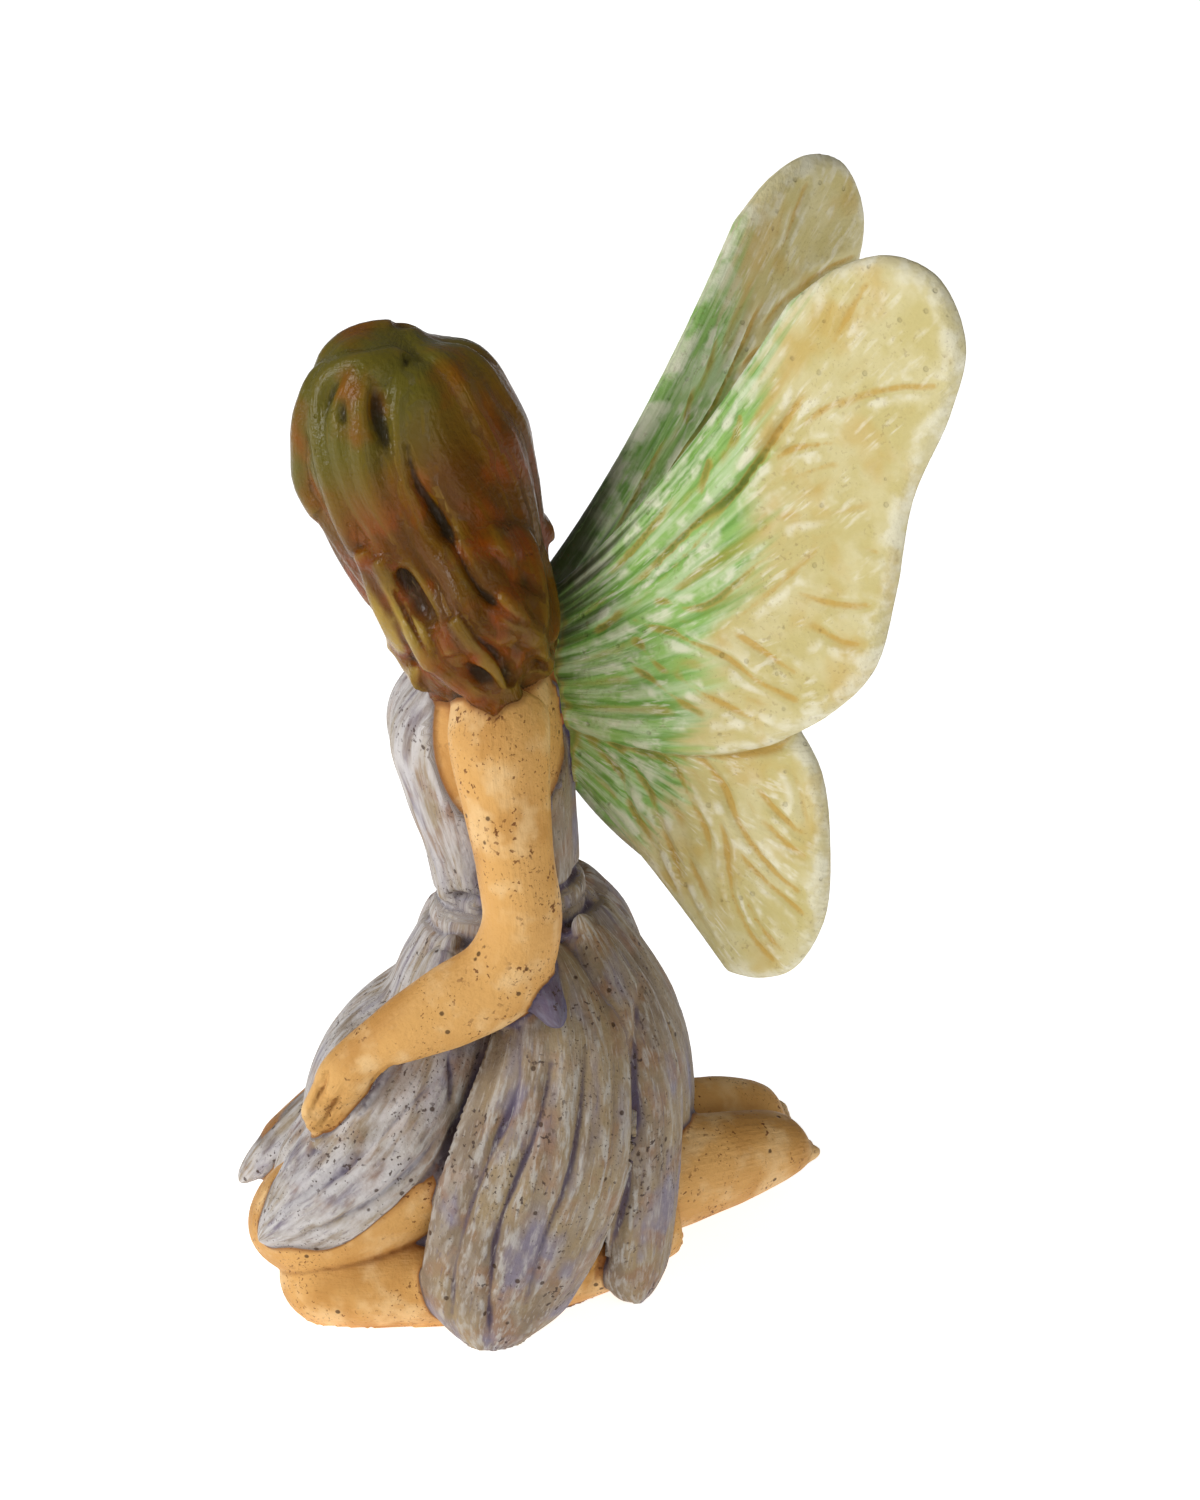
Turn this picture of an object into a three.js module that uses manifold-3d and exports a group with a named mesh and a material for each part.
// A kneeling fairy statue, cast in one piece of painted resin.
// She sits back on her heels with her hands on her thighs, looks down to her right,
// and carries two pairs of veined wings that sweep back from her spine.
// Units are millimetres. +X is her left, -Y is the way she kneels, +Z is up.
import * as THREE from "three";
import { LoftGeometry } from "three/addons/geometries/LoftGeometry.js";
import { mergeVertices } from "three/addons/utils/BufferGeometryUtils.js";
import Module from "manifold-3d";

// Driving dimensions
const figureHeight = 70; // underside to wing tips
const wingThickness = 1.8; // plate of each wing, at its margin
const wingSpread = 36; // degrees between an upper wing and the middle plane
const lowerWingSpread = 34;
const veinDepth = 0.5; // ridge to groove across the wings
const petalThickness = 2.2;
const fluteDepth = 0.5; // ridge to groove across the petals
const beltHeight = 1.8;
const fingerThickness = 1.4;
const toeThickness = 1.7;
const lockThickness = 1.6; // waving locks laid over the hair
const lockDepth = 0.9; // ridge to groove round the hair
const headTurn = 50; // degrees towards her right
const headBow = 28; // degrees down

// Pose, proportions and carving are laid out on a figure 70 units tall and follow its height.
const unit = figureHeight / 70;
const at = (x, y, z) => new THREE.Vector3(x, y, z).multiplyScalar(unit);
const radians = THREE.MathUtils.degToRad;

// Joining and trimming
const wasm = await Module();
wasm.setup();

function toSolid(geometry) {
  const bare = new THREE.BufferGeometry();
  bare.setAttribute("position", geometry.getAttribute("position"));
  bare.setIndex(geometry.getIndex());
  const merged = mergeVertices(bare, 1e-4);
  const corners = merged.index.array;
  const triangles = [];
  for (let i = 0; i < corners.length; i += 3) {
    const [a, b, c] = corners.slice(i, i + 3);
    if (a !== b && b !== c && c !== a) triangles.push(a, b, c);
  }
  return new wasm.Manifold(
    new wasm.Mesh({
      numProp: 3,
      vertProperties: merged.attributes.position.array,
      triVerts: new Uint32Array(triangles),
    }),
  );
}

// Resin fills every pocket between forms, so only shells that face outwards are kept.
function outerShells(positions, corners) {
  const link = Array.from({ length: positions.length / 3 }, (_, i) => i);
  const shellOf = (i) => {
    while (link[i] !== i) i = link[i] = link[link[i]];
    return i;
  };
  const volumes = new Map();
  for (let i = 0; i < corners.length; i += 3) {
    link[shellOf(corners[i])] = shellOf(corners[i + 1]);
    link[shellOf(corners[i + 1])] = shellOf(corners[i + 2]);
  }
  for (let i = 0; i < corners.length; i += 3) {
    const [a, b, c] = [0, 1, 2].map((k) =>
      new THREE.Vector3().fromArray(positions, corners[i + k] * 3),
    );
    const shell = shellOf(corners[i]);
    volumes.set(shell, (volumes.get(shell) ?? 0) + a.dot(b.cross(c)) / 6);
  }
  return corners.filter((_, i) => volumes.get(shellOf(corners[i - (i % 3)])) > 0);
}

function toGeometry(solid) {
  const { vertProperties, triVerts } = solid.getMesh();
  const geometry = new THREE.BufferGeometry();
  geometry.setAttribute("position", new THREE.BufferAttribute(vertProperties, 3));
  geometry.setIndex(new THREE.BufferAttribute(outerShells(vertProperties, triVerts), 1));
  geometry.computeVertexNormals();
  return geometry;
}

// The smooth surface round a line of stations [x, y, z, half width, half depth].
// It returns the point at a share of the length and an angle round the section, which starts
// at the direction of the width, lifted off the surface and bent back at the edges by arch.
function surface(stations, side = [1, 0, 0], arch = 0) {
  const through = (points) => new THREE.CatmullRomCurve3(points, false, "centripetal");
  const spine = through(stations.map(([x, y, z]) => at(x, y, z)));
  const sizes = through(stations.map(([, , , width, depth]) => at(width, depth, 0)));
  return (along, angle, lift = 0, round = 1) => {
    const size = sizes.getPoint(along);
    const forward = spine.getTangent(along);
    const across = new THREE.Vector3(...side).projectOnPlane(forward).normalize();
    const outward = forward.clone().cross(across);
    const bend = arch * unit * Math.cos(angle) ** 2;
    return spine
      .getPoint(along)
      .addScaledVector(across, Math.cos(angle) * (size.x + lift) * round)
      .addScaledVector(outward, (Math.sin(angle) * (size.y + lift) - bend) * round);
  };
}

// A closed form over that surface. ends are the shares of its length over which it rounds
// off, relief raises its skin, scale draws it in towards the spine, and twist turns its
// columns of points as they run along it.
function form(stations, options = {}) {
  const {
    side,
    arch,
    sides = 12,
    rings = 8,
    ends = [0.12, 0.12],
    relief = () => 0,
    scale = () => 1,
    twist = () => 0,
  } = options;
  const skin = surface(stations, side, arch);
  const roundOff = (share, length) =>
    share < length ? Math.max(0.3, Math.sqrt(1 - (1 - share / length) ** 2)) : 1;
  const sections = [];
  for (let i = 0; i <= rings; i++) {
    const along = (1 - Math.cos((Math.PI * i) / rings)) / 2;
    const round = roundOff(along, ends[0]) * roundOff(1 - along, ends[1]);
    const section = [];
    for (let j = 0; j < sides; j++) {
      const angle = (2 * Math.PI * j) / sides + twist(along);
      section.push(skin(along, angle, relief(along, angle, j), round * scale(along, angle)));
    }
    sections.push(section);
  }
  return toSolid(new LoftGeometry(sections, { capStart: true, capEnd: true }));
}

// A closed egg shape
function lump(centre, radii, detail) {
  const geometry = new THREE.SphereGeometry(1, detail * 2, detail);
  geometry.rotateX(Math.PI / 2);
  geometry.scale(...radii.map((radius) => radius * unit));
  geometry.translate(...at(...centre).toArray());
  return toSolid(geometry);
}

// The same stations on her other side
const mirrored = (stations) => stations.map(([x, ...rest]) => [-x, ...rest]);
const bothSides = [1, -1];

// A ridge on every second column of points
const ridged = (depth) => (along, angle, column) => {
  const fade = Math.min(1, 4 * along, 4 * (1 - along));
  return (column % 2 === 0 ? 0.5 : -0.5) * depth * fade;
};

// Bodice, neck and belt
const bustHeight = 0.9 * unit;
const bustAside = radians(22.5);

function bust(along, angle) {
  const front = radians(270);
  const offFront = Math.atan2(Math.sin(angle - front), Math.cos(angle - front));
  const aside = (Math.abs(offFront) - bustAside) / bustAside;
  const above = (along - 0.57) / 0.1;
  return bustHeight * Math.exp(-(aside ** 2) - above ** 2);
}

const torso = form(
  [
    [0, -5.7, 19.5, 6.4, 5.8],
    [0, -5.9, 24.5, 4.9, 4.6],
    [0, -6.3, 28.5, 5.6, 4.8],
    [0, -7.0, 32.5, 6.6, 5.4],
    [0, -7.3, 36.2, 7.2, 5.4],
    [0, -7.0, 39.4, 7.8, 4.4],
    [0, -6.9, 41.8, 5.4, 3.4],
    [0, -7.3, 43.6, 3.0, 2.6],
  ],
  { sides: 16, rings: 9, ends: [0, 0], relief: bust },
);
const neck = form(
  [
    [0, -6.8, 40.0, 3.0, 2.8],
    [-0.3, -8.3, 44.5, 2.5, 2.6],
    [-0.8, -10.0, 49.0, 2.8, 3.0],
  ],
  { sides: 8, rings: 3, ends: [0, 0] },
);
const beltMiddle = [-5.8, 24.8]; // y and z, with the belt higher at the back
const beltTilt = 0.15;
const belt = form(
  [-0.5, 0.5].map((share) => [
    0,
    beltMiddle[0] - (beltTilt * share * beltHeight) / unit,
    beltMiddle[1] + (share * beltHeight) / unit,
    5.2,
    4.9,
  ]),
  { sides: 14, rings: 2, ends: [0.25, 0.25] },
);

// Arms, bent at the elbow, with the left hand on the thigh and the right one by the hip
const armStations = {
  left: [
    [6.4, -6.7, 40.2, 2.9, 2.2],
    [8.5, -7.0, 38.0, 3.1, 2.8],
    [9.7, -6.7, 34.5, 2.7, 2.6],
    [10.3, -6.2, 30.3, 2.4, 2.4],
    [10.7, -5.9, 26.8, 2.45, 2.4],
    [10.9, -7.2, 23.6, 2.7, 2.5],
    [11.0, -10.2, 21.8, 2.6, 2.3],
    [11.0, -13.0, 20.4, 2.1, 2.0],
    [10.8, -15.1, 19.1, 1.6, 1.6],
    [10.6, -16.8, 17.3, 1.7, 1.3],
    [10.4, -17.7, 15.7, 1.5, 1.0],
  ],
  right: [
    [-6.4, -6.6, 40.2, 2.9, 2.2],
    [-8.5, -6.8, 38.0, 3.1, 2.8],
    [-9.7, -6.0, 34.5, 2.7, 2.6],
    [-10.4, -4.6, 30.3, 2.6, 2.4],
    [-11.0, -3.5, 26.4, 2.6, 2.4],
    [-11.7, -3.6, 23.0, 2.6, 2.5],
    [-12.8, -4.8, 20.2, 2.4, 2.3],
    [-13.9, -6.2, 17.4, 2.0, 2.0],
    [-14.8, -7.5, 15.2, 1.7, 1.6],
    [-15.4, -8.8, 13.2, 1.9, 1.2],
    [-15.7, -9.6, 12.0, 1.7, 1.0],
  ],
};
const fingerCount = 4;

function arm(stations) {
  const [x, y, z, palm] = stations.at(-1);
  const end = new THREE.Vector3(x, y, z);
  const ahead = end.clone().sub(new THREE.Vector3(...stations.at(-2))).normalize();
  const across = new THREE.Vector3(0, 1, 0).projectOnPlane(ahead).normalize();
  const half = fingerThickness / 2 / unit;
  const fingers = [];
  for (let i = 0; i < fingerCount; i++) {
    const spread = (2 * i) / (fingerCount - 1) - 1;
    const reach = 2.9 - Math.abs(spread - 0.2) * 0.6;
    const joint = (length) => {
      const { x, y, z } = end
        .clone()
        .addScaledVector(across, spread * (palm - 0.3))
        .addScaledVector(ahead, length);
      return [x, y, z, half, half];
    };
    const finger = [joint(-1.6), joint(0.4), joint(reach)];
    fingers.push(form(finger, { side: [0, 1, 0], sides: 5, rings: 2, ends: [0, 0.3] }));
  }
  const limb = { side: [0, 1, 0], sides: 9, rings: 12, ends: [0.04, 0.03] };
  return [form(stations, limb), ...fingers];
}

// Folded legs, the thigh over the calf, the right knee lower and further forward
const legStations = {
  left: {
    thigh: [
      [5.6, -3.0, 12.0, 6.0, 5.0],
      [7.4, -12.0, 10.0, 5.0, 4.8],
      [8.2, -17.6, 7.2, 4.2, 4.2],
      [7.7, -22.8, 4.7, 2.8, 3.1],
    ],
    calf: [
      [8.0, -21.2, 2.5, 3.0, 2.8],
      [8.8, -16.0, 2.5, 3.7, 3.1],
      [9.1, -9.0, 2.7, 3.6, 3.2],
      [8.0, -2.0, 3.2, 3.0, 3.2],
      [5.2, 3.4, 4.2, 2.6, 3.0],
    ],
  },
  right: {
    thigh: [
      [-5.6, -3.0, 11.5, 6.0, 4.8],
      [-5.8, -12.0, 8.6, 5.0, 4.2],
      [-4.6, -18.0, 5.4, 4.0, 3.4],
      [-3.6, -21.8, 3.1, 2.8, 2.8],
    ],
    calf: [
      [-3.8, -20.8, 2.2, 3.0, 2.6],
      [-5.6, -16.0, 2.4, 3.6, 3.0],
      [-7.4, -9.0, 2.7, 3.6, 3.2],
      [-7.2, -2.0, 3.2, 3.0, 3.2],
      [-4.2, 3.4, 4.2, 2.6, 3.0],
    ],
  },
};

function leg({ thigh, calf }) {
  return [
    form(thigh, { sides: 10, rings: 6, ends: [0, 0.2] }),
    form(calf, { sides: 10, rings: 7, ends: [0.14, 0] }),
  ];
}

// Feet, soles up behind her, with the toes turned towards her right
const footStations = {
  left: [
    [4.6, 1.0, 5.0, 2.8, 3.2],
    [3.4, 4.8, 6.0, 2.9, 3.6],
    [1.8, 8.2, 6.0, 2.7, 3.2],
    [0.0, 11.2, 5.9, 2.7, 2.4],
    [-1.3, 13.2, 5.8, 2.4, 1.5],
  ],
  right: [
    [-3.4, 1.0, 4.4, 2.8, 3.2],
    [-4.0, 5.0, 5.0, 2.8, 3.8],
    [-5.0, 8.4, 5.0, 2.7, 3.6],
    [-6.0, 11.0, 4.8, 2.6, 2.9],
    [-6.6, 13.0, 4.7, 2.2, 1.8],
  ],
};
const toeCount = 5;

function foot(stations) {
  const [x, y, z, width] = stations.at(-1);
  const [fromX, fromY] = stations.at(-2);
  const heading = new THREE.Vector2(x - fromX, y - fromY).normalize();
  const toes = [];
  for (let i = 0; i < toeCount; i++) {
    const share = i / (toeCount - 1);
    const across = (share * 2 - 1) * (width - 0.5);
    const size = (toeThickness / 2 / unit) * (1 - 0.35 * share);
    const toe = (ahead) => [
      x + heading.y * across + heading.x * (ahead - 0.9 * share),
      y - heading.x * across + heading.y * (ahead - 0.9 * share),
      z - 0.3,
      size,
      size,
    ];
    toes.push(form([toe(-1.4), toe(0), toe(1.3)], { sides: 5, rings: 2, ends: [0, 0.4] }));
  }
  return [form(stations, { sides: 10, rings: 6, ends: [0, 0.14] }), ...toes];
}

// Skirt: a full body under overlapping petals, each fluted along its length
const skirtBody = form(
  [
    [0, -8.0, -1.0, 11.0, 10.0],
    [0, -8.0, 3.5, 11.6, 11.2],
    [0, -7.2, 8.5, 12.0, 12.2],
    [0, -6.1, 13.0, 12.0, 11.3],
    [0, -5.5, 17.0, 10.4, 9.0],
    [0, -5.6, 20.5, 8.0, 7.2],
    [0, -5.8, 24.5, 5.2, 4.8],
  ],
  { sides: 14, rings: 7, ends: [0, 0] },
);

const pairedPetals = [
  {
    // over the hip, down to the ground
    side: [0.05, 1, 0.05],
    arch: 1.4,
    stations: [
      [6.0, -4.8, 24.8, 1.8, 0.9],
      [11.4, -3.9, 19.6, 4.4, 1.1],
      [14.2, -4.8, 13.4, 5.6, 1.2],
      [14.5, -6.5, 7.6, 5.5, 1.6],
      [14.0, -8.0, 3.0, 4.8, 1.8],
      [13.6, -8.6, -0.6, 3.2, 1.6],
    ],
  },
  {
    // behind the hip
    side: [-0.7, 0.7, 0],
    arch: 0.8,
    stations: [
      [4.4, -1.8, 24.8, 1.6, 0.9],
      [8.2, 0.6, 20.4, 3.4, 1.1],
      [10.2, 1.8, 15.2, 4.0, 1.2],
      [10.2, 2.1, 9.2, 3.6, 1.1],
      [9.8, 1.9, 4.0, 3.1, 1.1],
      [9.4, 1.5, 0.0, 2.8, 1.0],
    ],
  },
];
const singlePetals = [
  {
    // over the left thigh, ending at the knee
    side: [0.6, 0.7, -0.38],
    arch: 0.9,
    stations: [
      [4.4, -9.6, 23.8, 1.6, 0.9],
      [8.6, -11.6, 18.8, 3.0, 1.0],
      [10.9, -15.2, 13.5, 4.1, 1.1],
      [11.4, -18.9, 9.7, 3.5, 1.1],
      [10.5, -22.5, 6.1, 1.4, 0.8],
    ],
  },
  {
    // over the right thigh
    side: [0.9, -0.25, 0.25],
    arch: 0.8,
    stations: [
      [-4.4, -9.8, 23.2, 1.6, 0.9],
      [-6.2, -11.7, 16.2, 3.3, 1.0],
      [-6.0, -15.3, 10.7, 3.8, 1.1],
      [-5.0, -20.2, 6.3, 3.5, 1.1],
      [-4.4, -23.6, 2.9, 1.4, 0.8],
    ],
  },
  {
    // over the lap
    side: [1, 0, 0],
    arch: 1.2,
    stations: [
      [0, -9.8, 24.2, 2.0, 0.9],
      [0, -11.9, 18.0, 4.8, 1.0],
      [0.4, -15.9, 12.3, 5.4, 1.0],
      [0.6, -19.4, 8.0, 4.4, 1.0],
      [0.8, -21.2, 4.6, 1.8, 0.8],
    ],
  },
  {
    // down the back, ending above the feet
    side: [-1, 0, 0],
    arch: 1.2,
    stations: [
      [0, -1.4, 24.8, 2.0, 0.9],
      [0, 1.8, 20.6, 4.8, 1.0],
      [0, 4.2, 15.8, 6.0, 1.1],
      [0, 5.0, 11.0, 5.8, 1.1],
      [0, 4.8, 7.4, 4.6, 1.0],
      [0, 4.2, 4.8, 2.2, 0.8],
    ],
  },
  {
    // a short one under the left elbow
    side: [0, 1, 0],
    arch: 0.3,
    stations: [
      [7.0, -4.8, 24.8, 0.8, 0.6],
      [11.4, -4.8, 23.0, 1.4, 1.0],
      [13.4, -3.8, 21.0, 0.6, 0.6],
    ],
  },
];

function petal({ stations, side, arch }, hand = 1) {
  const thickened = stations.map(([x, y, z, width, share]) => [
    x,
    y,
    z,
    width,
    (share * petalThickness) / 2 / unit,
  ]);
  const [sideX, ...sideRest] = side;
  return form(hand > 0 ? thickened : mirrored(thickened), {
    side: [hand * sideX, ...sideRest],
    arch: hand * arch,
    sides: 10,
    rings: 6,
    ends: [0.1, 0.16],
    relief: ridged(fluteDepth),
  });
}

// Head and face, modelled upright and then turned and bowed on the neck
const headCentre = at(-1.0, -11.4, 54.0);
const headPose = new THREE.Matrix4()
  .makeTranslation(headCentre)
  .multiply(new THREE.Matrix4().makeRotationZ(-radians(headTurn)))
  .multiply(new THREE.Matrix4().makeRotationX(radians(headBow)));

const nose = form(
  [
    [0, -5.0, 1.8, 0.6, 0.6],
    [0, -5.7, 0.2, 0.5, 0.6],
    [0, -6.4, -1.3, 0.8, 0.7],
    [0, -5.4, -2.3, 0.9, 0.5],
  ],
  { sides: 6, rings: 5, ends: [0.1, 0.2] },
);
const upperLip = lump([0, -5.25, -3.2], [1.3, 0.75, 0.4], 4);
const lowerLip = lump([0, -5.1, -3.85], [1.05, 0.75, 0.42], 4);
const eyelids = bothSides.map((hand) => lump([hand * 1.95, -4.6, 0.1], [1.2, 0.85, 0.65], 4));
const face = [
  lump([0, 0.2, 1.0], [5.0, 5.6, 5.2], 6), // skull
  lump([0, -1.8, -2.0], [4.0, 3.7, 4.3], 7), // cheeks and jaw
  lump([0, -3.9, -5.0], [1.6, 1.4, 1.2], 4), // chin
  nose,
  upperLip,
  lowerLip,
  ...eyelids,
].map((solid) => solid.transform(headPose.elements));

// Hair: a full fall over the crown, the back and the left shoulder, carved into locks
const hairStations = [
  [4.2, -6.6, 39.4, 6.0, 2.4],
  [3.4, -7.4, 41.8, 7.2, 4.6],
  [1.8, -8.7, 45.6, 7.2, 5.7],
  [0.6, -10.2, 50.0, 6.9, 6.8],
  [0, -11.3, 53.6, 6.9, 7.3],
  [-0.3, -12.0, 57.0, 6.1, 6.6],
  [-0.6, -12.4, 59.7, 4.4, 4.7],
  [-0.7, -12.0, 61.3, 0.9, 1.0],
];
const lockColumns = 22;
const faceAngle = radians(222); // where the hair opens, round the head
const openingHalf = radians(56);
const lockWave = (along) => 0.16 * Math.sin(7 * along) - 0.5 * along;

function faceOpening(along, angle) {
  const offFace = Math.atan2(Math.sin(angle - faceAngle), Math.cos(angle - faceAngle));
  const inside = 1 - THREE.MathUtils.smoothstep(Math.abs(offFace), openingHalf * 0.7, openingHalf);
  const underHairline = 1 - THREE.MathUtils.smoothstep(along, 0.6, 0.78);
  return 1 - (0.75 - 0.3 * along) * inside * underHairline;
}

const hairFall = form(hairStations, {
  sides: lockColumns,
  rings: 11,
  ends: [0.04, 0],
  relief: ridged(lockDepth),
  scale: faceOpening,
  twist: lockWave,
});

// Where the fall lies on the left shoulder
const shoulderFall = form(
  [
    [1.8, -8.8, 49.8, 4.8, 3.8],
    [3.2, -8.1, 47.2, 6.3, 4.7],
    [4.6, -7.7, 44.5, 6.4, 4.9],
    [5.6, -7.5, 42.2, 5.6, 4.5],
    [6.3, -7.2, 41.0, 4.4, 3.8],
    [6.8, -7.0, 40.2, 3.2, 2.4],
  ],
  { sides: 16, rings: 6, ends: [0.15, 0.1], relief: ridged(lockDepth) },
);

// Locks laid over the fall: [degrees round the head, share of the way up, half width]
const lockPaths = [
  [[-104, 0.94, 1.2], [-90, 0.8, 1.9], [-76, 0.6, 1.9], [-68, 0.44, 1.5], [-64, 0.34, 0.6]],
  [[-70, 0.94, 1.2], [-54, 0.76, 1.9], [-44, 0.5, 2.0], [-44, 0.26, 1.8], [-38, 0.02, 0.6]],
  [[-34, 0.5, 1.2], [-22, 0.34, 1.9], [-10, 0.12, 1.9], [-14, -0.1, 0.6]],
  [[166, 0.92, 1.2], [164, 0.72, 1.7], [160, 0.5, 1.7], [150, 0.32, 1.4], [144, 0.2, 0.6]],
];
const hairSkin = surface(hairStations);

const locks = lockPaths.map((path) => {
  const stations = path.map(([degrees, along, width]) => {
    const onHair = hairSkin(Math.max(0, along), radians(degrees), -0.2 * unit);
    const hang = Math.min(0, along) * 12;
    const { x, y, z } = onHair.divideScalar(unit);
    const taper = 0.4 + 0.6 * Math.min(1, width);
    return [x, y, z + hang, width, (taper * lockThickness) / 2 / unit];
  });
  const middle = radians(path[2][0]);
  return form(stations, {
    side: [-Math.sin(middle), Math.cos(middle), 0],
    sides: 6,
    rings: 7,
    ends: [0.15, 0.1],
  });
});

// Wings: each lobe is a fan of veins from a short root line to its margin.
// Points are [distance out from the spine, height].
const upperLobe = {
  root: [[-1.6, 44.6], [-1.6, 37.0]],
  bend: [[6.6, 51.4], [7.4, 34.6]],
  margin: [
    [15.2, 65.2],
    [18.4, 67.6],
    [21.6, 68.6],
    [24.6, 67.6],
    [26.4, 64.0],
    [25.6, 59.8],
    [23.4, 54.4],
    [22.5, 48.6],
    [21.2, 43.6],
    [18.4, 40.4],
    [14.6, 37.8],
  ],
  veins: 8,
  outward: 0.4,
  spread: wingSpread,
};
const lowerLobe = {
  root: [[-1.6, 38.6], [-1.6, 34.6]],
  bend: [[7.0, 38.6], [4.6, 29.6]],
  margin: [
    [15.4, 39.0],
    [17.2, 36.0],
    [17.9, 31.0],
    [17.6, 26.4],
    [15.6, 22.8],
    [13.4, 21.8],
    [11.2, 21.8],
  ],
  veins: 5,
  outward: -0.4,
  spread: lowerWingSpread,
};
const broaderLowerLobe = {
  ...lowerLobe,
  bend: [[7.0, 38.6], [1.2, 29.0]],
  margin: [
    [15.4, 39.0],
    [17.2, 36.0],
    [17.9, 31.0],
    [17.2, 26.4],
    [14.6, 23.0],
    [11.0, 22.2],
    [7.6, 23.6],
  ],
};
const wingRoot = [1.7, -2.2]; // x and y where the wings leave the back

function wing(lobe, hand) {
  const { root, bend, margin, veins, outward, spread } = lobe;
  const sweep = radians(spread);
  const out = new THREE.Vector3(hand * Math.sin(sweep), Math.cos(sweep), 0);
  const facing = new THREE.Vector3(hand * Math.cos(sweep), -Math.sin(sweep), 0);
  const start = at(hand * wingRoot[0], wingRoot[1], 0);
  const edge = new THREE.SplineCurve(margin.map(([s, z]) => new THREE.Vector2(s, z)));
  const between = ([from, to], share) =>
    new THREE.Vector2(...from).lerp(new THREE.Vector2(...to), share);
  const rays = veins * 2;
  const steps = 5;
  const sections = [];
  for (let i = 0; i <= rays; i++) {
    const share = i / rays;
    const vein = new THREE.QuadraticBezierCurve(
      between(root, share),
      between(bend, share),
      edge.getPoint(share),
    );
    const atEdge = i % rays === 0 ? 0 : Math.sin(Math.PI * share) ** 0.3;
    const ridge = (i % 2 === 0 ? -0.5 : 0.5) * veinDepth;
    const point = (reach, face) => {
      const { x, y } = vein.getPoint(reach);
      const plate = (wingThickness / 2) * (1 + 0.4 * (1 - reach) ** 2);
      const carved = ridge * Math.sin(Math.PI * reach * 0.9);
      const depth = outward * unit + face * (plate + carved) * atEdge;
      return start
        .clone()
        .addScaledVector(out, x * unit)
        .addScaledVector(facing, depth)
        .setZ(y * unit);
    };
    const section = [];
    for (let j = 0; j < steps; j++) section.push(point(j / steps, 1));
    section.push(point(1, 0.5), point(1, -0.5));
    for (let j = steps - 1; j >= 0; j--) section.push(point(j / steps, -1));
    sections.push(hand > 0 ? section.reverse() : section);
  }
  return toSolid(new LoftGeometry(sections));
}

// The casting: every form fused, and the underside cut flat
const forms = [
  torso,
  neck,
  belt,
  skirtBody,
  ...arm(armStations.left),
  ...arm(armStations.right),
  ...leg(legStations.left),
  ...leg(legStations.right),
  ...foot(footStations.left),
  ...foot(footStations.right),
  ...bothSides.flatMap((hand) => pairedPetals.map((design) => petal(design, hand))),
  ...singlePetals.map((design) => petal(design)),
  ...face,
  hairFall,
  shoulderFall,
  ...locks,
  ...bothSides.map((hand) => wing(upperLobe, hand)),
  wing(lowerLobe, 1),
  wing(broaderLowerLobe, -1),
];
const fused = forms.reduce((whole, piece) => whole.add(piece));

const ground = new THREE.BoxGeometry(3 * figureHeight, 3 * figureHeight, figureHeight);
ground.translate(0, 0, -figureHeight / 2);
const statue = toGeometry(fused.subtract(toSolid(ground)));

// The origin is under the middle of the figure, on its flat underside.
statue.computeBoundingBox();
const middle = statue.boundingBox.getCenter(new THREE.Vector3());
statue.translate(-middle.x, -middle.y, 0);

const paintedResin = new THREE.MeshStandardMaterial({
  color: "#9d9590",
  roughness: 0.55,
  metalness: 0,
});
const figure = new THREE.Mesh(statue, paintedResin);
figure.name = "fairy_figure";

const group = new THREE.Group();
group.add(figure);
export default group;
